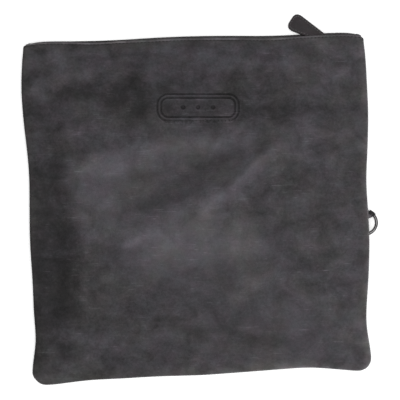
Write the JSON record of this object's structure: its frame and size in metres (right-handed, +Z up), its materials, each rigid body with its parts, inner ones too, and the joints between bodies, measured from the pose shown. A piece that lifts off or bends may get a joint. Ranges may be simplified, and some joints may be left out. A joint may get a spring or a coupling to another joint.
{
  "type": "shoulder bag",
  "caption": "Flat square zip-top leather bag lying on its back, with turned seams, a leather zip pull and a D-ring on the side for a strap.",
  "frame": {"origin": "middle of the bag's outline, on the surface that its back panel lies on", "axes": "+Z up out of the front panel, +Y along the bag's height towards the zip, +X towards the side with the D-ring"},
  "size_m": [0.3367, 0.3501, 0.0294],
  "materials": {
    "leather": "washed dark grey, matt with a soft waxy sheen",
    "pull_leather": "dark grey, smooth",
    "zip_tape": "black woven tape",
    "hardware": "dark nickel, polished"
  },
  "bodies": {
    "root": {"front_panel": "leather", "back_panel": "leather", "zip_tape_front": "zip_tape", "zip_tape_back": "zip_tape", "zip_chain": "hardware", "zip_slider": "hardware", "pull_tab": "pull_leather", "pull_link": "hardware", "d_ring": "hardware", "ring_loop": "leather"}
  },
  "joints": []
}
